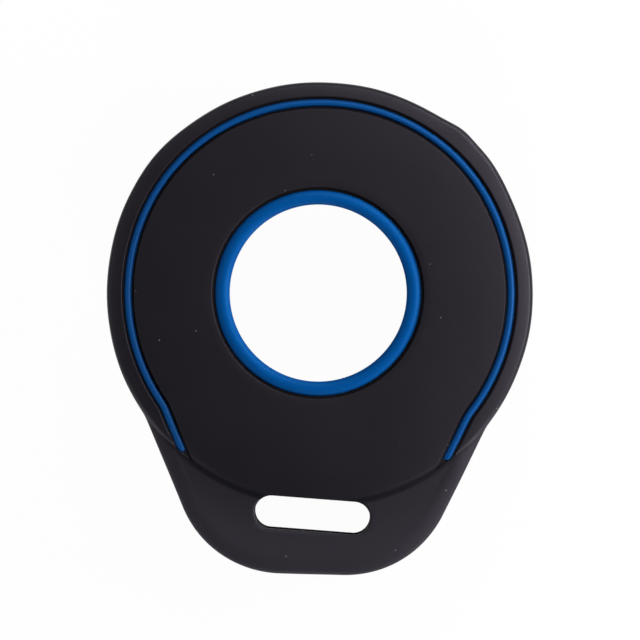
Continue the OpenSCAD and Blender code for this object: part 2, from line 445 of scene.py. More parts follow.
class Modeller:
    """Blender's modelling operators, each run on a plain selection made in code."""

    @staticmethod
    def deselect() -> None:
        """Leaves nothing selected, in object mode."""
        if bpy.context.object and bpy.context.object.mode != "OBJECT":
            bpy.ops.object.mode_set(mode="OBJECT")
        bpy.ops.object.select_all(action="DESELECT")

    @staticmethod
    def pick(piece: bpy.types.Object) -> None:
        """Makes one object the only selected and the active one.

        Args:
            piece: The object.
        """
        Modeller.deselect()
        piece.select_set(True)
        bpy.context.view_layer.objects.active = piece

    @staticmethod
    def circle(name: str, count: int, radius: float) -> bpy.types.Object:
        """Adds a bare circle of edges at the origin.

        Args:
            name: Name of the new object.
            count: Number of its points.
            radius: Its radius in metres.

        Returns:
            The new object, the only one selected.
        """
        Modeller.deselect()
        bpy.ops.mesh.primitive_circle_add(vertices=count, radius=radius, fill_type="NOTHING")
        piece = bpy.context.object
        piece.name = name
        piece.data.name = name
        return piece

    @staticmethod
    def loft(name: str, rings: np.ndarray, closed: bool) -> bpy.types.Object:
        """Draws a skin by extruding a ring of edges again and again and placing each new ring.

        Args:
            name: Name of the new object.
            rings: Places in millimetres, one row of points for each ring.
            closed: Whether the last ring joins the first, as on a tube bent round.

        Returns:
            The new object, with merged doubles and its faces pointing outwards.
        """
        piece = Modeller.circle(name, rings.shape[1], MM)
        bpy.ops.object.mode_set(mode="EDIT")
        bpy.ops.mesh.select_mode(type="EDGE")
        mesh = piece.data
        places = rings * MM
        work = bmesh.from_edit_mesh(mesh)
        work.verts.ensure_lookup_table()
        ring = list(work.verts)
        for vert, place in zip(ring, places[0]):
            vert.co = place
        rows = list(places[1:]) + ([places[0]] if closed else [])
        if not closed:
            bpy.ops.mesh.edge_face_add()
        for row in rows:
            bpy.ops.mesh.select_all(action="DESELECT")
            work = bmesh.from_edit_mesh(mesh)
            for edge in Modeller.ring_edges(ring):
                edge.select_set(True)
            work.select_flush(True)
            bpy.ops.mesh.extrude_edges_indiv()
            ring = [Modeller.raised(vert) for vert in ring]
            for vert, place in zip(ring, row):
                vert.co = place
        if not closed:
            bpy.ops.mesh.edge_face_add()
        Modeller.close()
        return piece

    @staticmethod
    def close() -> None:
        """Merges doubles, turns all faces outwards and leaves edit mode."""
        bpy.ops.mesh.select_all(action="SELECT")
        bpy.ops.mesh.remove_doubles(threshold=MERGE)
        bpy.ops.mesh.normals_make_consistent(inside=False)
        bpy.ops.object.mode_set(mode="OBJECT")

    @staticmethod
    def ring_edges(ring: list[bmesh.types.BMVert]) -> list[bmesh.types.BMEdge]:
        """Edges that join the points of a ring in turn."""
        edges = []
        for vert, after in zip(ring, ring[1:] + ring[:1]):
            edges += [edge for edge in vert.link_edges if edge.other_vert(vert) == after]
        return edges

    @staticmethod
    def raised(vert: bmesh.types.BMVert) -> bmesh.types.BMVert:
        """The selected point that an extrusion has raised from this one."""
        for edge in vert.link_edges:
            other = edge.other_vert(vert)
            if other.select and not vert.select:
                return other
        return vert

    @staticmethod
    def spin(name: str, section: np.ndarray, steps: int) -> bpy.types.Object:
        """Turns a closed section about the Z axis.

        Args:
            name: Name of the new object.
            section: Radius and height of the section's points, in millimetres.
            steps: Number of steps of the full turn.

        Returns:
            The new object.
        """
        piece = Modeller.circle(name, len(section), MM)
        bpy.ops.object.mode_set(mode="EDIT")
        work = bmesh.from_edit_mesh(piece.data)
        for vert, (r, z) in zip(list(work.verts), section):
            vert.co = Vector((r, 0, z)) * MM
        bmesh.update_edit_mesh(piece.data)
        bpy.ops.mesh.select_all(action="SELECT")
        bpy.ops.mesh.spin(steps=steps, angle=math.tau, center=(0, 0, 0), axis=(0, 0, 1))
        Modeller.close()
        return piece

    @staticmethod
    def move(piece: bpy.types.Object, way: Point) -> None:
        """Moves a piece's faces sideways and leaves its origin where it is.

        Args:
            piece: The piece.
            way: How far to the right and up, in millimetres.
        """
        Modeller.pick(piece)
        bpy.ops.object.mode_set(mode="EDIT")
        bpy.ops.mesh.select_all(action="SELECT")
        bpy.ops.transform.translate(value=(way[0] * MM, way[1] * MM, 0))
        bpy.ops.object.mode_set(mode="OBJECT")

    @staticmethod
    def cut(piece: bpy.types.Object, cutter: bpy.types.Object) -> None:
        """Takes a cutter's form out of a piece and removes the cutter.

        Args:
            piece: The piece that is cut.
            cutter: A closed form.
        """
        Modeller.pick(piece)
        cut = piece.modifiers.new("cut", "BOOLEAN")
        cut.operation = "DIFFERENCE"
        cut.solver = "EXACT"
        cut.object = cutter
        bpy.ops.object.modifier_apply(modifier=cut.name)
        bpy.data.objects.remove(cutter)

    @staticmethod
    def smooth(piece: bpy.types.Object, angle: float) -> None:
        """Shades a piece smooth up to an angle.

        Args:
            piece: The piece.
            angle: Largest angle in degrees between faces that shade as one.
        """
        Modeller.pick(piece)
        bpy.ops.object.shade_smooth_by_angle(angle=math.radians(angle))


@dataclass
class Stretch:
    """One stretch of a section, with the rounding of the corner at its end."""

    points: np.ndarray
    count: int
    corner: float = 0.0

    @classmethod
    def line(cls, start: Point, end: Point, count: int, corner: float = 0.0) -> "Stretch":
        """A straight stretch.

        Args:
            start: Radius and height of its start.
            end: Radius and height of its end.
            count: Number of its points.
            corner: Rounding of the corner at its end.

        Returns:
            The stretch.
        """
        return cls(np.array([start, end], dtype=float), count, corner)

    @property
    def length(self) -> float:
        """Length of the stretch."""
        return float(np.linalg.norm(np.diff(self.points, axis=0), axis=1).sum())

    def trimmed(self, start: float, end: float) -> np.ndarray:
        """Points spread evenly over the stretch, without a length at each end.

        Args:
            start: Length left out at the start.
            end: Length left out at the end.

        Returns:
            As many points as the stretch asks for.
        """
        steps = np.linalg.norm(np.diff(self.points, axis=0), axis=1)
        along = np.concatenate([[0.0], np.cumsum(steps)])
        wanted = np.linspace(start, max(along[-1] - end, start), self.count)
        return np.stack([np.interp(wanted, along, self.points[:, i]) for i in (0, 1)], axis=1)


def soften(stretches: list[Stretch]) -> np.ndarray:
    """Joins stretches to a closed section and rounds its corners.

    Args:
        stretches: The stretches in turn, the last of which ends where the first starts.

    Returns:
        The section's points.
    """
    lengths = [stretch.length for stretch in stretches]
    count = len(stretches)
    cuts = [
        min(stretch.corner, CORNER_SHARE * lengths[i], CORNER_SHARE * lengths[(i + 1) % count])
        for i, stretch in enumerate(stretches)
    ]
    rows = [stretch.trimmed(cuts[i - 1], cuts[i]) for i, stretch in enumerate(stretches)]
    points: list[np.ndarray] = []
    for i, row in enumerate(rows):
        points += list(row)
        if stretches[i].corner:
            before, after, tip = row[-1], rows[(i + 1) % count][0], stretches[i].points[-1]
            for t in CORNER_STEPS:
                points.append((1 - t) ** 2 * before + 2 * t * (1 - t) * tip + t * t * after)
    return np.array(points)


@dataclass
class CoverBody:
    """Black sleeve: front wall, side wall, back lip and tab in one moulding."""

    disc: Disc
    tab: Tab
    path: AccentPath
    form: SoftForm
    # The tab's face, which rises towards the disc
    tab_top: float = 11.605
    tab_rise: float = 0.33
    tab_run: float = 5.0
    kink: float = 0.12
    # Walls, pocket and mouth
    front_wall: float = 1.7
    side_wall: float = 1.8
    back_wall: float = 1.5
    pocket_round: float = 1.0
    mouth_r: float = 17.0
    mouth_round: float = 0.3
    lip_corner: float = 0.15
    # The window's hole and the ring's seat
    hole_r: float = 11.23
    hole_corner: float = 0.12
    seat_r: float = 12.42
    seat_depth: float = 0.9
    seat_corner: float = 0.1
    # The groove and its edges
    groove_w: float = 1.4
    groove_lip: float = 0.06
    groove_foot: float = 0.1
    groove_rim: float = 0.16
    groove_lead: float = 0.4
    floor_soft: float = 0.15
    # The key ring slot and its cutters
    slot_l: float = 13.6
    slot_w: float = 3.9
    slot_drop: float = 25.98
    slot_skew: float = math.radians(2.5)
    slot_round: float = 0.25
    slot_steps: int = 33
    slot_edge_steps: int = 9
    slot_lift: float = 0.06
    cut_past: float = 1.0
    guard_past: float = 3.0
    guard_steps: int = 384
    # The soft step down to the tab, between the groove's ends
    step_in: float = 24.0
    step_out: float = 25.1
    step_share_run: float = 2.0
    step_lead: float = 0.1
    step_past: float = 0.4
    step_near: float = 0.12
    # The crease where the rim meets the tab, outside the groove's ends
    crease_round: float = 0.5
    crease_in: float = 0.1
    crease_foot: float = 0.5
    crease_near: Span = (22.8, 24.6)
    crease_far: Span = (25.0, 26.4)
    crease_level: Span = (1.0, 0.2)
    crease_reach: Span = (27.3, 29.4)
    # The parting line on the side wall
    parting_z: float = 4.2
    parting_h: float = 0.04
    parting_half: float = 0.12
    # Points of the front's arcs, and rays with a closer zone round the tab, in degrees
    rim_steps: int = 32
    join_steps: int = 12
    fine_from: float = 195.0
    fine_to: float = 345.0
    wide_rays: int = 210
    fine_rays: int = 330

    @property
    def crease_r(self) -> float:
        """Radius at which the rim meets the tab's front face."""
        return self.disc.rim_r(self.tab_top + self.tab_rise)

    def wall_r(self, angle: float, inset: float, disc_r: float) -> float:
        """Distance to the outer wall along a ray.

        Args:
            angle: Direction of the ray.
            inset: How far the tab's outline is drawn in.
            disc_r: The disc's radius at this height.

        Returns:
            The distance from the disc's centre.
        """
        return blend_max(disc_r, self.tab.reach_at(angle, inset), self.kink)

    def tab_z(self, r: float) -> float:
        """Height of the tab's face, which rises a little towards the disc."""
        return self.tab_top + self.tab_rise * max(0.0, 1 - max(0.0, r - self.crease_r) / self.tab_run) ** 2

    def step_share(self, angle: float) -> float:
        """How far the front sinks softly to the tab at an angle: wholly so between the groove's ends."""
        inner = self.path.crossing(angle, self.groove_w / 2, Side.INNER)
        return float(smooth_step(self.crease_r - self.step_share_run, self.crease_r, inner))

    def soft_step(self, points: np.ndarray, share: float) -> np.ndarray:
        """Turns the corner between the front and the tab into a soft step.

        Args:
            points: A section's points.
            share: Share of the soft step at this angle.

        Returns:
            The points with their new heights.
        """
        radii, heights = points[:, 0], points[:, 1]
        plain = np.array([self.disc.front_z(r) if r < self.crease_r else self.tab_z(r) for r in radii])
        front = (radii > self.step_in) & (radii < self.step_out + self.step_past)
        front &= np.abs(heights - plain) < self.step_near
        sunk = smooth_step(self.step_in, self.step_out, radii[front])
        high = np.array([self.disc.crown(r) for r in radii[front]])
        low = np.array([self.tab_z(r) for r in radii[front]])
        points[front, 1] = (1 - share) * heights[front] + share * (high + (low - high) * sunk)
        return points

    def crease_shift(self, angles: np.ndarray, radii: np.ndarray, heights: np.ndarray) -> np.ndarray:
        """Draws the rim in where the tab meets it, so that the crease lies a little inside the circle.

        Args:
            angles: Directions of the rays, in radians.
            radii: Distances of the sections' points, one row for each ray.
            heights: Heights of the same points.

        Returns:
            The shift of each point along its ray.
        """
        reach = np.array([self.tab.reach_at(a, 0.0) for a in angles])[:, None]
        near = smooth_step(*self.crease_near, radii) * (1 - smooth_step(*self.crease_far, radii))
        level = smooth_step(*(self.tab_top - down for down in self.crease_level), heights)
        sharp = 1 - np.array([self.step_share(a) for a in angles])[:, None]
        return -self.crease_in * smooth_step(*self.crease_reach, reach) * near * level * sharp

    def top_arc(self, low: float, high: float) -> np.ndarray:
        """Points of the front between two radii, close enough for its rounding."""
        disc, join = self.disc, self.disc.rim_join
        if high <= join:
            radii = np.linspace(low, high, FINE_STEPS)
        else:
            turn = [math.asin(min((r - disc.rim_x) / disc.rim_round, 1)) for r in (max(low, join), high)]
            radii = disc.rim_x + disc.rim_round * np.sin(np.linspace(*turn, self.rim_steps))
            if low < join:
                radii = np.concatenate([np.linspace(low, join, self.join_steps), radii])
        return np.array([(r, disc.front_z(r)) for r in radii])

    def tab_face(self, low: float, high: float, count: int) -> np.ndarray:
        """Points of the tab's face between two radii."""
        return np.array([(r, self.tab_z(r)) for r in np.linspace(low, high, count)])

    def tab_edge(self, angle: float, face_end: float) -> np.ndarray:
        """The tab's front edge along a ray, from its face down to the side wall.

        Args:
            angle: Direction of the ray, in radians.
            face_end: Radius at which the face passes into the edge.

        Returns:
            Radius and height of the edge's points.
        """
        edge = []
        for inset, drop in self.tab.edge_profile():
            z = self.tab_z(face_end) - drop
            edge.append((self.wall_r(angle, inset, self.disc.rim_r(z)), z))
        edge[0] = (face_end, edge[0][1])
        return np.array(edge)

    def back_edge(self, angle: float) -> np.ndarray:
        """The rounded edge along a ray, from the side wall down to the back face."""
        edge = []
        for turn in np.linspace(0, math.pi / 2, FINE_STEPS)[::-1]:
            inset, z = rounding(self.disc.back_round, turn)
            edge.append((self.wall_r(angle, inset, self.disc.radius - inset), z))
        return np.array(edge)

    def parted_wall(self, top: np.ndarray, foot: np.ndarray) -> np.ndarray:
        """The side wall between its two edges, with the fine ridge of the mould's parting line."""
        return np.array([
            (top[0], top[1]),
            (foot[0], self.parting_z + self.parting_half),
            (foot[0] + self.parting_h, self.parting_z),
            (foot[0], self.parting_z - self.parting_half),
            (foot[0], foot[1]),
        ])

    def section(self, angle: float) -> np.ndarray:
        """The sleeve's section along a ray from the disc's centre.

        Args:
            angle: Direction of the ray, in radians.

        Returns:
            Radius and height of the closed section's points, the same number for every ray.
        """
        disc, crease, join = self.disc, self.crease_r, self.disc.rim_join
        share = self.step_share(angle)
        half = self.groove_w / 2
        face_end = max(self.wall_r(angle, self.tab.edge_lean + self.tab.turn_in, crease), crease)
        inner = min(self.path.crossing(angle, half, Side.INNER), crease)
        outer = min(self.path.crossing(angle, half, Side.OUTER), crease)
        floor = self.tab_top + self.tab_rise * float(smooth_step(crease - self.floor_soft, crease, inner))
        turn = min(inner - self.groove_lead, join * (1 - share) + (self.step_in - self.step_lead) * share)
        foot = min(crease + self.crease_foot, face_end)
        low_hole = disc.face_z(self.hole_r, self.front_wall)
        seat_z, seat_top = disc.face_z(self.seat_r) - self.seat_depth, disc.front_z(self.seat_r)
        edge, back = self.tab_edge(angle, face_end), self.back_edge(angle)
        # Every stretch has the same number of points on all rays, so that the rays join to faces.
        stretches = [
            Stretch.line((self.hole_r, low_hole), (self.hole_r, seat_z), 2, self.hole_corner),
            Stretch.line((self.hole_r, seat_z), (self.seat_r, seat_z), 2, self.seat_corner),
            Stretch.line((self.seat_r, seat_z), (self.seat_r, seat_top), 2, self.seat_corner),
            Stretch(self.top_arc(self.seat_r, turn), 12),
            Stretch(self.top_arc(turn, inner), 12, self.groove_lip),
            Stretch.line((inner, disc.front_z(inner)), (inner, floor), 2, self.groove_foot),
            Stretch.line((inner, floor), (outer, floor), 2, self.groove_foot),
            Stretch.line((outer, floor), (outer, disc.front_z(outer)), 2, self.groove_rim),
            Stretch(self.top_arc(outer, max(outer, join)), 2),
            Stretch(self.top_arc(max(outer, join), crease), 10, self.crease_round),
            Stretch(self.tab_face(crease, foot, 5), 6),
            Stretch(self.tab_face(foot, face_end, 9), 8),
            Stretch(edge, 15),
            Stretch(self.parted_wall(edge[-1], back[0]), 9),
            Stretch(back, 7),
            Stretch.line((back[-1, 0], 0), (self.mouth_r, 0), 6, self.mouth_round),
            Stretch.line((self.mouth_r, 0), (self.mouth_r, self.back_wall), 2, self.lip_corner),
            *self.pocket(angle, low_hole),
        ]
        return self.soft_step(soften(stretches), share)

    def pocket(self, angle: float, low_hole: float) -> list[Stretch]:
        """The pocket's stretches of a section, from the mouth round to the window's hole.

        Args:
            angle: Direction of the ray, in radians.
            low_hole: Height of the window hole's lower edge.

        Returns:
            The stretches in turn.
        """
        disc, bend = self.disc, self.pocket_round
        disc_r = disc.radius - self.side_wall
        arc_r = disc.crown_r - self.front_wall
        centre_x = disc_r - bend
        centre_z = disc.crown_z + math.sqrt((arc_r - bend) ** 2 - centre_x**2)
        tab_z = self.tab_top - self.front_wall
        join = centre_x * arc_r / (arc_r - bend)

        def reach(inset: float, disc_reach: float) -> float:
            """The pocket's wall, where the disc's part of it lies at a given reach."""
            return blend_max(disc_reach, self.tab.reach_at(angle, self.side_wall + inset), self.kink)

        def disc_at(z: float) -> float:
            """The disc's part of the pocket's wall at a height."""
            return centre_x + math.sqrt(bend**2 - max(z - centre_z, 0.0) ** 2)

        rounds = [rounding(bend, turn) for turn in np.linspace(0, math.pi / 2, ROUND_STEPS)]
        floor = np.array([(reach(inset, disc_r - inset), self.back_wall + up) for inset, up in rounds])
        ceiling = np.array([(reach(inset, disc_at(tab_z - up)), tab_z - up) for inset, up in rounds[::-1]])
        step_r = disc_at(tab_z)
        ceiling[-1, 0] = max(ceiling[-1, 0], step_r)
        start = math.asin(min((step_r - centre_x) / bend, 1))
        end = math.asin((join - centre_x) / bend)
        rise = np.array([
            (centre_x + bend * math.sin(turn), centre_z + bend * math.cos(turn))
            for turn in np.linspace(start, end, ROUND_STEPS)
        ])
        radii = np.linspace(join, self.hole_r, ROUND_STEPS)
        crown = np.array([(r, disc.face_z(r, self.front_wall)) for r in radii])
        crown[-1, 1] = low_hole
        return [
            Stretch.line((self.mouth_r, self.back_wall), (floor[0, 0], self.back_wall), 4),
            Stretch(floor, 5),
            Stretch.line(floor[-1], ceiling[0], 4),
            Stretch(ceiling, 5),
            Stretch.line(ceiling[-1], (step_r, tab_z), 3),
            Stretch(rise, 5),
            Stretch(crown, 6, self.lip_corner),
        ]

    def angles(self) -> np.ndarray:
        """Directions of the rays, closer together round the tab."""
        wide = np.linspace(self.fine_to - 360, self.fine_from, self.wide_rays + 1)[:-1]
        fine = np.linspace(self.fine_from, self.fine_to, self.fine_rays + 1)[:-1]
        return np.radians(np.concatenate([wide, fine]))

    def slot_outline(self, flare: float) -> np.ndarray:
        """Outline of the key ring slot about its own middle."""
        end = (self.slot_l - self.slot_w) / 2
        turns = np.linspace(1, -1, self.slot_steps) * math.pi / 2
        half = [np.array([end, 0]) + (self.slot_w / 2 + flare) * polar(turn) for turn in turns]
        return np.array(half + [-point for point in half])

    def slot_ring(self, flare: float, z: float) -> np.ndarray:
        """Outline of the slot in its place at a height."""
        turned = self.slot_outline(flare) @ np.array([
            [math.cos(self.slot_skew), -math.sin(self.slot_skew)],
            [math.sin(self.slot_skew), math.cos(self.slot_skew)],
        ])
        turned[:, 1] -= self.slot_drop
        return np.column_stack([turned, np.full(len(turned), z)])

    def slot_rings(self, face: float, side: int) -> list[np.ndarray]:
        """Rings of the slot's rounded edge on a face, from the widest inwards."""
        rings = [self.slot_ring(self.slot_round, face - side * self.cut_past)]
        for turn in np.linspace(0, math.pi / 2, self.slot_edge_steps):
            flare, depth = rounding(self.slot_round, turn)
            rings.append(self.slot_ring(flare, face + side * depth))
        return rings

    def cut_slot(self, piece: bpy.types.Object) -> None:
        """Cuts the key ring slot through both walls of the tab.

        Args:
            piece: The sleeve.
        """
        through = self.slot_rings(0.0, 1) + [self.slot_ring(0.0, self.disc.face_h + self.cut_past)]
        Modeller.cut(piece, Modeller.loft("slot_cutter", np.array(through), closed=False))
        flared = self.slot_rings(self.tab_top + self.slot_lift, -1)
        flare = Modeller.loft("flare_cutter", np.array(flared[::-1]), closed=False)
        angles = np.linspace(0, math.tau, self.guard_steps + 1)[:-1]
        ring = np.array([(*(self.step_out * polar(a)), 0.0) for a in angles])
        guard = np.array([ring, ring + np.array([0, 0, self.disc.face_h + self.guard_past])])
        Modeller.cut(flare, Modeller.loft("rim_guard", guard, closed=False))
        Modeller.cut(piece, flare)

    def build(self) -> bpy.types.Object:
        """Draws the sleeve as rings that follow its section round the part.

        Returns:
            The finished piece.
        """
        angles, form = self.angles(), self.form
        sections = np.array([self.section(a) for a in angles])
        rays = np.array([polar(a) for a in angles])
        window, plan, wall = (
            np.array([shift(a) for a in angles])[:, None]
            for shift in (form.window_shift, form.plan_shift, form.wall_shift)
        )
        radii, heights = sections[:, :, 0], sections[:, :, 1]
        front = (1 - smooth_step(*form.window_zone, radii)) * smooth_step(*form.front_zone, heights)
        radii = radii + window * front + self.crease_shift(angles, radii, heights)
        whole, outer = (smooth_step(*zone, radii) for zone in (form.plan_zone, form.wall_zone))
        radii = radii + plan * whole + wall * outer
        rings = np.stack([radii * rays[:, :1], radii * rays[:, 1:], heights], axis=2).transpose(1, 0, 2)
        piece = Modeller.loft("sleeve_moulding", rings, closed=True)
        self.cut_slot(piece)
        Modeller.smooth(piece, SMOOTH_DEG)
        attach(piece, BODY)
        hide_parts("cover_body")
        return piece


@dataclass
class WindowRing:
    """Blue ring that lines the window, with its neck through the front wall."""

    disc: Disc
    form: SoftForm
    window_r: float = 10.38
    band: float = 1.7
    arch: float = 0.4
    arch_power: float = 2.2
    neck: float = 0.8
    drop: float = 0.05
    seat_z: float = 12.0763
    neck_low: float = 11.318
    corner: float = 0.1
    dome_steps: int = 41
    turn_steps: int = 288

    def build(self) -> bpy.types.Object:
        """Turns the ring's section about the disc's axis.

        Returns:
            The finished piece.
        """
        outer, neck_r = self.window_r + self.band, self.window_r + self.neck
        top = self.disc.face_z(outer) - self.drop
        across = np.linspace(-1, 1, self.dome_steps)
        dome = np.stack([
            self.window_r + self.band * (1 + across) / 2,
            top - self.arch * np.abs(across) ** self.arch_power,
        ], axis=1)
        stretches = [
            Stretch.line((self.window_r, self.neck_low), dome[0], 4, self.corner),
            Stretch(dome, 15, self.corner),
            Stretch.line(dome[-1], (outer, self.seat_z), 3, self.corner),
            Stretch.line((outer, self.seat_z), (neck_r, self.seat_z), 2),
            Stretch.line((neck_r, self.seat_z), (neck_r, self.neck_low), 3, self.corner),
            Stretch.line((neck_r, self.neck_low), (self.window_r, self.neck_low), 2, self.corner),
        ]
        piece = Modeller.spin("window_trim", soften(stretches), self.turn_steps)
        Modeller.move(piece, self.form.window_off)
        Modeller.smooth(piece, SMOOTH_DEG)
        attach(piece, BODY)
        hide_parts("window_ring")
        return piece


@dataclass
class AccentLine:
    """Blue bead that lies in the groove and falls away with the rim at both ends."""

    disc: Disc
    path: AccentPath
    form: SoftForm
    floor_z: float
    width: float = 0.88
    drop: float = 0.18
    reach: float = 24.5
    tip_round: float = 0.24
    dome_steps: int = 15

    def ring(self, place: np.ndarray, angle: float, share: float) -> np.ndarray:
        """Section of the bead at a station: flat foot, upright sides and a domed top.

        Args:
            place: Where the station lies.
            angle: Outward direction across the bead.
            share: Share of the bead's full width and dome.

        Returns:
            The section's points.
        """
        across = self.width / 2 * share * polar(angle)
        top = self.disc.front_z(float(np.linalg.norm(place))) - self.drop
        dome = min(self.width / 2, top - self.floor_z)
        points = [(*(place + across), self.floor_z)]
        for turn in np.linspace(0, math.pi, self.dome_steps):
            height = top - dome + dome * share * math.sin(turn)
            points.append((*(place + math.cos(turn) * across), height))
        points.append((*(place - across), self.floor_z))
        return np.array(points)

    def build(self) -> bpy.types.Object:
        """Draws the bead's section along its route.

        Returns:
            The finished piece.
        """
        run = self.path.run_to(self.reach) - self.tip_round
        stations = self.path.stations(run, self.tip_round, 1 - 2 * self.tip_round / self.width)
        rings = np.array([self.ring(*station) for station in stations])
        plan = np.array([self.form.plan_shift(math.atan2(s[0][1], s[0][0])) for s in stations])
        reach = np.linalg.norm(rings[:, :, :2], axis=2)
        shift = plan[:, None] * smooth_step(*self.form.plan_zone, reach)
        rings[:, :, :2] *= 1 + (shift / reach)[:, :, None]
        piece = Modeller.loft("accent_bead", rings, closed=False)
        Modeller.smooth(piece, BEAD_SMOOTH_DEG)
        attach(piece, BODY)
        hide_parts("accent_line")
        return piece


class Graph:
    """A node tree with short calls to add and join its nodes."""

    def __init__(self, tree: bpy.types.NodeTree) -> None:
        """Keeps the tree.

        Args:
            tree: The node tree to fill.
        """
        self.tree = tree

    def add(self, kind: str, **values: object) -> bpy.types.Node:
        """Adds a node and sets its properties.

        Args:
            kind: Blender's name of the node type.
            **values: Properties of the node.

        Returns:
            The new node.
        """
        node = self.tree.nodes.new(kind)
        for name, value in values.items():
            setattr(node, name, value)
        return node

    def join(self, source: Given, target: bpy.types.NodeSocket) -> None:
        """Joins an output to an input, or gives the input a plain value.

        Args:
            source: The output, or a number or colour.
            target: The input.
        """
        if isinstance(source, bpy.types.NodeSocket):
            self.tree.links.new(source, target)
        else:
            target.default_value = source

    def fed(self, kind: str, given: dict[str | int, Given], **values: object) -> bpy.types.Node:
        """Adds a node and feeds its inputs.

        Args:
            kind: Blender's name of the node type.
            given: What goes into each input, by the input's name or place.
            **values: Properties of the node.

        Returns:
            The new node.
        """
        node = self.add(kind, **values)
        for label, source in given.items():
            self.join(source, node.inputs[label])
        return node

    def math(self, operation: str, *terms: Given, clamp: bool = False) -> bpy.types.NodeSocket:
        """Adds one step of arithmetic.

        Args:
            operation: Blender's name of the operation.
            *terms: What it works on.
            clamp: Whether the result is held between 0 and 1.

        Returns:
            The result's output.
        """
        node = self.fed("ShaderNodeMath", dict(enumerate(terms)), operation=operation, use_clamp=clamp)
        return node.outputs[0]

    def ramp(
        self,
        value: Given,
        span: tuple[Given, Given],
        start: Given = 0.0,
        end: Given = 1.0,
        kind: str = "SMOOTHSTEP",
    ) -> bpy.types.NodeSocket:
        """Adds a ramp between two values.

        Args:
            value: What the ramp follows.
            span: Where the ramp starts and where it ends.
            start: What it puts out before it starts.
            end: What it puts out beyond its end.
            kind: Blender's name of its course.

        Returns:
            The result's output.
        """
        given = {"Value": value, "From Min": span[0], "From Max": span[1], "To Min": start, "To Max": end}
        return self.fed("ShaderNodeMapRange", given, interpolation_type=kind).outputs["Result"]

    def mix(self, kind: str, share: Given, first: Given, second: Given) -> bpy.types.NodeSocket:
        """Adds a mix of two numbers or colours.

        Args:
            kind: Blender's name of what is mixed.
            share: Share of the second one.
            first: The first one.
            second: The second one.

        Returns:
            The result's output.
        """
        given = {"Factor": share, "A": first, "B": second}
        return self.fed("ShaderNodeMix", given, data_type=kind).outputs["Result"]

    def place(self) -> bpy.types.NodeSocket:
        """Adds the place of the shaded point in its piece."""
        return self.add("ShaderNodeTexCoord").outputs["Object"]

    def axis_reach(self, place: bpy.types.NodeSocket) -> bpy.types.NodeSocket:
        """Adds the distance of a place from the Z axis."""
        flat = self.fed("ShaderNodeVectorMath", {0: place, 1: (1, 1, 0)}, operation="MULTIPLY")
        reach = self.fed("ShaderNodeVectorMath", {0: flat.outputs["Vector"]}, operation="LENGTH")
        return reach.outputs["Value"]

    def end(self, kind: str, share: Given, first: bpy.types.Node, second: bpy.types.Node) -> None:
        """Mixes two shaders and puts the mix out.

        Args:
            kind: Blender's name of the output node's type.
            share: Share of the second shader.
            first: The first shader's node.
            second: The second shader's node.
        """
        mix = self.fed("ShaderNodeMixShader", {0: share, 1: first.outputs[0], 2: second.outputs[0]})
        self.join(mix.outputs["Shader"], self.add(kind).inputs["Surface"])


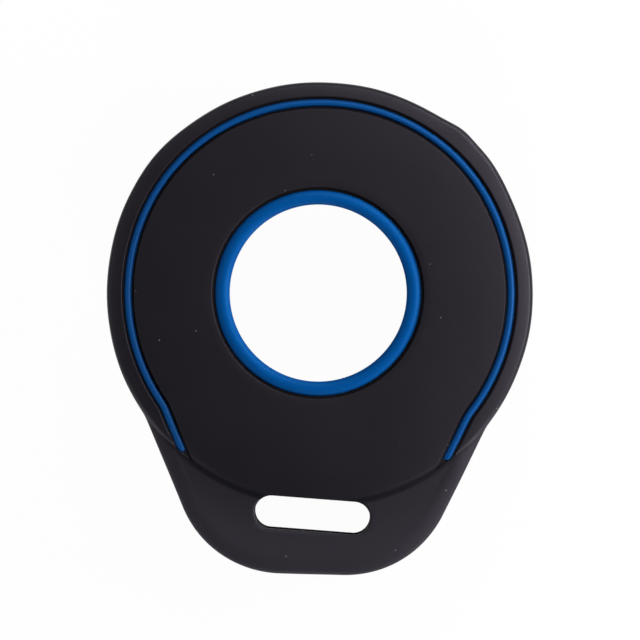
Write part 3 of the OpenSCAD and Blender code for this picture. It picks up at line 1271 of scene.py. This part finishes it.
class RubberGroups:
    """Node groups that both rubbers share, made once."""

    # Heights between which the two masks set in, so that only the front shows them.
    FRONT = {"Low": 9.0 * MM, "High": 10.4 * MM}

    def __init__(self) -> None:
        """Builds the groups."""
        self.grain = self.build_grain()
        self.dust = self.build_dust()
        self.painted_tab_light = self.build_painted_tab_light()
        self.polished = self.build_polished()

    @staticmethod
    def new_group(
        name: str, inputs: dict[str, float], outputs: tuple[str, ...]
    ) -> tuple[Graph, bpy.types.NodeOutputs, bpy.types.NodeInputs]:
        """Makes a group with its sockets, all of them numbers.

        Args:
            name: Name of the group.
            inputs: Name and starting value of each number that goes in.
            outputs: Name of each number that comes out.

        Returns:
            The group's graph, the numbers that go in, and the sockets of those that come out.
        """
        group = bpy.data.node_groups.new(name, "ShaderNodeTree")
        for label, value in inputs.items():
            socket = group.interface.new_socket(name=label, in_out="INPUT", socket_type="NodeSocketFloat")
            socket.default_value = value
        for label in outputs:
            group.interface.new_socket(name=label, in_out="OUTPUT", socket_type="NodeSocketFloat")
        graph = Graph(group)
        return graph, graph.add("NodeGroupInput").outputs, graph.add("NodeGroupOutput").inputs

    def build_grain(self) -> bpy.types.NodeTree:
        """Fine grain of a spark-eroded mould with a slow unevenness under it.

        Returns:
            A group that puts out a height and a mask of the slow unevenness.
        """
        graph, given, result = self.new_group(
            "mould_grain",
            {"Grain Scale": 3800.0, "Cloud Scale": 120.0, "Grain Share": 0.6},
            ("Height", "Cloud"),
        )
        place = graph.place()

        def noise(scale: str, detail: float, roughness: float) -> bpy.types.NodeSocket:
            """Adds a noise at one of the group's scales."""
            inputs = {"Vector": place, "Scale": given[scale], "Detail": detail, "Roughness": roughness}
            return graph.fed("ShaderNodeTexNoise", inputs, noise_dimensions="3D").outputs["Fac"]

        fine = noise("Grain Scale", 3.0, 0.6)
        slow = noise("Cloud Scale", 4.0, 0.55)
        graph.join(graph.mix("FLOAT", given["Grain Share"], slow, fine), result["Height"])
        graph.join(slow, result["Cloud"])
        return graph.tree

    def build_dust(self) -> bpy.types.NodeTree:
        """Few and tiny pale specks of dust.

        Returns:
            A group that puts out a mask of the specks.
        """
        graph, given, result = self.new_group(
            "dust_specks",
            {"Scale": 700.0, "Size": 0.06, "Rarity": 0.965},
            ("Speck",),
        )
        inputs = {"Vector": graph.place(), "Scale": given["Scale"]}
        cells = graph.fed("ShaderNodeTexVoronoi", inputs, feature="F1").outputs
        near = graph.math("LESS_THAN", cells["Distance"], given["Size"])
        split = graph.fed("ShaderNodeSeparateColor", {"Color": cells["Color"]}).outputs
        rare = graph.math("GREATER_THAN", split["Red"], given["Rarity"])
        graph.join(graph.math("MULTIPLY", near, rare), result["Speck"])
        return graph.tree

    def build_painted_tab_light(self) -> bpy.types.NodeTree:
        """The tab's front painted paler than the disc, and more so towards its edges: painted light for the
        tab, which catches more of the lamps.

        Returns:
            A group that puts out a mask of the paler face.
        """
        graph, given, result = self.new_group(
            "painted_tab_light_mask",
            {"From": 25.1 * MM, "To": 30.5 * MM, "Start": 0.55, **self.FRONT},
            ("Mask",),
        )
        place = graph.place()
        reach = graph.axis_reach(place)
        rise = graph.ramp(reach, (given["From"], given["To"]), given["Start"])
        tab = graph.math("MULTIPLY", rise, graph.math("GREATER_THAN", reach, given["From"]))
        split = graph.fed("ShaderNodeSeparateXYZ", {0: place}).outputs
        front = graph.ramp(split["Z"], (given["Low"], given["High"]))
        graph.join(graph.math("MULTIPLY", tab, front), result["Mask"])
        return graph.tree

    def build_polished(self) -> bpy.types.NodeTree:
        """The crease between the disc and the tab, which no key reaches and which has stayed glossier.

        Returns:
            A group that puts out a mask of the crease.
        """
        graph, given, result = self.new_group(
            "polished_crease",
            {
                "Radius": 24.65 * MM,
                "Half Width": 0.8 * MM,
                "Above": -18.6 * MM,
                "Below": -20.6 * MM,
                **self.FRONT,
            },
            ("Mask",),
        )
        place = graph.place()
        off = graph.math("SUBTRACT", graph.axis_reach(place), given["Radius"])
        near = graph.ramp(graph.math("ABSOLUTE", off), (0.0, given["Half Width"]), 1.0, 0.0)
        split = graph.fed("ShaderNodeSeparateXYZ", {0: place}).outputs
        low = graph.ramp(split["Y"], (given["Above"], given["Below"]))
        front = graph.ramp(split["Z"], (given["Low"], given["High"]))
        graph.join(graph.math("MULTIPLY", graph.math("MULTIPLY", near, low), front), result["Mask"])
        return graph.tree


def new_material(name: str) -> tuple[bpy.types.Material, Graph]:
    """Makes a material that has no nodes yet.

    Args:
        name: Name of the material.

    Returns:
        The material and its empty graph.
    """
    made = bpy.data.materials.new(name)
    made.use_nodes = True
    made.node_tree.nodes.clear()
    return made, Graph(made.node_tree)


def linear(red: int, green: int, blue: int) -> tuple[float, float, float, float]:
    """Turns a screen colour of 0 to 255 into Blender's linear colour.

    Args:
        red: Red share.
        green: Green share.
        blue: Blue share.

    Returns:
        The linear colour with full alpha.
    """
    shares = [value / 255 for value in (red, green, blue)]
    return (*(s / 12.92 if s <= 0.04045 else ((s + 0.055) / 1.055) ** 2.4 for s in shares), 1.0)


@dataclass(frozen=True)
class RubberFinish:
    """Matt silicone rubber: its colour, how the mould left it and how much dust clings to it."""

    name: str
    deep: Colour
    pale: Colour
    roughness: float
    roughness_spread: float
    grain_depth: float
    sheen: float
    sheen_tint: Colour
    dust_rarity: float
    specular: float = 0.5
    gloss_tint: Colour = (255, 255, 255)
    ior: float = 1.42
    sheen_roughness: float = 0.45
    bump_strength: float = 0.5
    speck: Colour = (112, 110, 114)
    tab_roughness: float = 0.55
    polished_roughness: float = 0.32
    # Paler colour of the tab's front: painted light for the tab, which catches more of the lamps.
    painted_tab_light: Colour | None = None

    def material(self, groups: RubberGroups) -> bpy.types.Material:
        """Makes the material.

        Args:
            groups: The shared node groups.

        Returns:
            The new material.
        """
        made, graph = new_material(self.name)
        grain = graph.add("ShaderNodeGroup", node_tree=groups.grain).outputs
        dust = graph.add("ShaderNodeGroup", node_tree=groups.dust)
        dust.inputs["Rarity"].default_value = self.dust_rarity
        low, high = self.roughness - self.roughness_spread, self.roughness + self.roughness_spread
        rough = graph.ramp(grain["Cloud"], (0.0, 1.0), low, high, "LINEAR")
        tone = graph.mix("RGBA", grain["Cloud"], linear(*self.deep), linear(*self.pale))
        # The tab's front is painted paler as painted light, and the same mask also makes it rougher.
        if self.painted_tab_light:
            painted_tab_light = graph.add("ShaderNodeGroup", node_tree=groups.painted_tab_light).outputs["Mask"]
            polished = graph.add("ShaderNodeGroup", node_tree=groups.polished).outputs["Mask"]
            tone = graph.mix("RGBA", painted_tab_light, tone, linear(*self.painted_tab_light))
            tab_rough = graph.mix("FLOAT", painted_tab_light, rough, self.tab_roughness)
            rough = graph.mix("FLOAT", polished, tab_rough, self.polished_roughness)
        relief = {
            "Strength": self.bump_strength,
            "Distance": self.grain_depth * MM,
            "Height": grain["Height"],
        }
        surface = graph.fed("ShaderNodeBsdfPrincipled", {
            "Base Color": graph.mix("RGBA", dust.outputs["Speck"], tone, linear(*self.speck)),
            "Roughness": rough,
            "Normal": graph.fed("ShaderNodeBump", relief).outputs["Normal"],
            "IOR": self.ior,
            "Specular IOR Level": self.specular,
            "Specular Tint": linear(*self.gloss_tint),
            "Sheen Weight": self.sheen,
            "Sheen Roughness": self.sheen_roughness,
            "Sheen Tint": linear(*self.sheen_tint),
        })
        graph.join(surface.outputs["BSDF"], graph.add("ShaderNodeOutputMaterial").inputs["Surface"])
        return made

    def dress(self, piece: bpy.types.Object, groups: RubberGroups) -> None:
        """Gives a piece this finish alone.

        Args:
            piece: The piece.
            groups: The shared node groups.
        """
        piece.data.materials.clear()
        piece.data.materials.append(self.material(groups))


BLACK_RUBBER = RubberFinish(
    name="black_silicone",
    deep=(10, 9, 12),
    pale=(14, 13, 16),
    roughness=0.41,
    roughness_spread=0.03,
    grain_depth=0.02,
    sheen=0.02,
    sheen_tint=(220, 215, 235),
    dust_rarity=0.86,
    specular=0.56,
    gloss_tint=(242, 232, 255),
    # The tab's paler front is painted light.
    painted_tab_light=(22, 20, 25),
)
BLUE_RUBBER = RubberFinish(
    name="blue_silicone",
    deep=(0, 72, 140),
    pale=(0, 80, 152),
    roughness=0.42,
    roughness_spread=0.03,
    grain_depth=0.015,
    sheen=0.0,
    sheen_tint=(190, 215, 255),
    dust_rarity=0.97,
    specular=0.25,
    gloss_tint=(120, 200, 255),
)
# The bead's blue is a darker copy of the ring's: painted shade for the bead sunk in its groove. Its gloss
# is whiter too.
BLUE_BEAD_SHADED = replace(
    BLUE_RUBBER,
    name="blue_silicone_bead_shaded",
    deep=(0, 66, 128),
    pale=(0, 73, 140),
    specular=0.35,
    gloss_tint=(175, 215, 255),
)


@dataclass(frozen=True)
class Lamp:
    """A soft area lamp that looks at the cover, for its even light or for its sheen."""

    name: str
    place: tuple[float, float, float]
    size: float
    watts: float
    sheen_only: bool = False

    def hang(self, target: Vector) -> None:
        """Adds the lamp.

        Args:
            target: Where it points.
        """
        data = bpy.data.lights.new(self.name, "AREA")
        data.shape = "DISK"
        data.size = self.size
        data.energy = self.watts
        lamp = bpy.data.objects.new(self.name, data)
        bpy.context.scene.collection.objects.link(lamp)
        lamp.visible_diffuse = not self.sheen_only
        lamp.visible_glossy = self.sheen_only
        lamp.location = self.place
        lamp.rotation_euler = (target - Vector(self.place)).to_track_quat("-Z", "Y").to_euler()


# Small lamps that only show as a sheen, in rings over the cover: the ring's name, its elevation in
# degrees, and the watts of each lamp by its direction in degrees.
SHEEN_RINGS = (
    ("hi", 68, {0: 0.107, 60: 0.059}),
    ("low", 17, {225: 0.321, 270: 0.375, 315: 0.6}),
    ("mid", 42, {0: 0.968, 45: 0.861, 90: 0.338, 135: 0.169, 180: 0.171, 225: 0.094, 315: 0.152}),
)
SHEEN_DISTANCE = 0.45
SHEEN_SIZE = 0.20


def sheen_lamps() -> list[Lamp]:
    """The sheen lamps of every ring.

    Returns:
        The lamps, each placed to the millimetre.
    """
    lamps = []
    for ring, elevation, watts in SHEEN_RINGS:
        up = math.radians(elevation)
        for turn, power in watts.items():
            along = math.cos(up) * polar(math.radians(turn))
            place = tuple(round(SHEEN_DISTANCE * float(part), 3) for part in (*along, math.sin(up)))
            lamps.append(Lamp(f"sheen_{ring}_{turn:03d}", place, SHEEN_SIZE, power, sheen_only=True))
    return lamps


@dataclass
class Studio:
    """White floor, soft lamps and the camera straight over the cover."""

    scale_px: float = 8.527
    face_z: float = 12.7
    camera_up: float = 1000.0
    disc_px: Point = (319.8, 294.0)
    roll: float = math.radians(1.9)
    sensor: float = 36.0
    floor_half: float = 0.6
    paper_grey: float = 0.9
    glow_share: float = 0.97
    world_light: float = 0.015
    target: tuple[float, float, float] = (0, 0, 0.01)
    lamps: list[Lamp] = field(default_factory=lambda: [
        Lamp("right_lamp", (0.44, 0.08, 0.16), 0.24, 2.6),
        Lamp("left_lamp", (-0.40, 0.10, 0.34), 0.24, 0.15),
        Lamp("top_lamp", (0.04, 0.42, 0.30), 0.24, 1.4),
        Lamp("near_lamp", (0.04, -0.42, 0.30), 0.24, 1.4),
        *sheen_lamps(),
    ])

    def floor(self) -> None:
        """Lays the white floor, which shows near white and keeps the cover's shadow."""
        Modeller.deselect()
        bpy.ops.mesh.primitive_plane_add(size=2 * self.floor_half, location=(0, 0, 0))
        floor = bpy.context.object
        floor.name = "floor"
        made, graph = new_material("floor_paper")
        paper = graph.fed("ShaderNodeBsdfDiffuse", {"Color": (*(self.paper_grey,) * 3, 1)})
        glow = graph.fed("ShaderNodeEmission", {"Color": WHITE})
        path = graph.add("ShaderNodeLightPath").outputs
        bent = graph.math("ADD", path["Is Glossy Ray"], path["Is Transmission Ray"], clamp=True)
        seen = graph.math("ADD", path["Is Camera Ray"], bent, clamp=True)
        share = graph.math("MULTIPLY", seen, self.glow_share)
        graph.end("ShaderNodeOutputMaterial", share, paper, glow)
        floor.data.materials.append(made)

    def world(self) -> None:
        """Sets an even pale surround that the camera sees as white."""
        world = bpy.data.worlds.new("studio_surround")
        bpy.context.scene.world = world
        world.use_nodes = True
        world.node_tree.nodes.clear()
        graph = Graph(world.node_tree)
        seen = graph.fed("ShaderNodeBackground", {"Color": WHITE})
        light = graph.fed("ShaderNodeBackground", {"Color": WHITE, "Strength": self.world_light})
        path = graph.add("ShaderNodeLightPath").outputs
        graph.end("ShaderNodeOutputWorld", path["Is Camera Ray"], light, seen)

    def camera(self) -> None:
        """Sets the camera over the cover, so that the disc lies where the photograph has it."""
        data = bpy.data.cameras.new("over_camera")
        data.sensor_width = self.sensor
        data.lens = self.sensor * self.camera_up * self.scale_px / PHOTO_SIZE
        camera = bpy.data.objects.new("over_camera", data)
        bpy.context.scene.collection.objects.link(camera)
        off = np.array([self.disc_px[0] - PHOTO_SIZE / 2, PHOTO_SIZE / 2 - self.disc_px[1]]) / self.scale_px
        right, up = polar(self.roll), polar(self.roll + math.pi / 2)
        foot = -(off[0] * right + off[1] * up) * MM
        above = Matrix.Translation((foot[0], foot[1], (self.camera_up + self.face_z) * MM))
        camera.matrix_world = above @ Matrix.Rotation(self.roll, 4, "Z")
        bpy.context.scene.camera = camera

    def build(self) -> None:
        """Lays the floor, hangs the lamps and sets the world and the camera."""
        self.floor()
        self.world()
        self.camera()
        for lamp in self.lamps:
            lamp.hang(Vector(self.target))
        bpy.context.scene.view_settings.view_transform = "Standard"


def report(name: str, build: Callable[[], bpy.types.Object]) -> bpy.types.Object:
    """Builds a piece and reports how many faces it has.

    Args:
        name: What the piece is called in the log.
        build: Method that builds it.

    Returns:
        The piece.
    """
    piece = build()
    LOG.info("%s: %d faces", name, len(piece.data.polygons))
    return piece


def main() -> None:
    """Builds the cover piece by piece around its frame, then the studio."""
    logging.basicConfig(level=logging.INFO, format="%(message)s")
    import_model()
    disc, tab = Disc(), Tab()
    path = AccentPath(disc, tab)
    form = SoftForm()
    body = CoverBody(disc, tab, path, form)
    groups = RubberGroups()
    sleeve = report("sleeve", body.build)
    trim = report("window trim", WindowRing(disc, form).build)
    bead = report("accent bead", AccentLine(disc, path, form, body.tab_top).build)
    BLACK_RUBBER.dress(sleeve, groups)
    BLUE_RUBBER.dress(trim, groups)
    BLUE_BEAD_SHADED.dress(bead, groups)
    Studio().build()


if __name__ == "__main__":
    main()
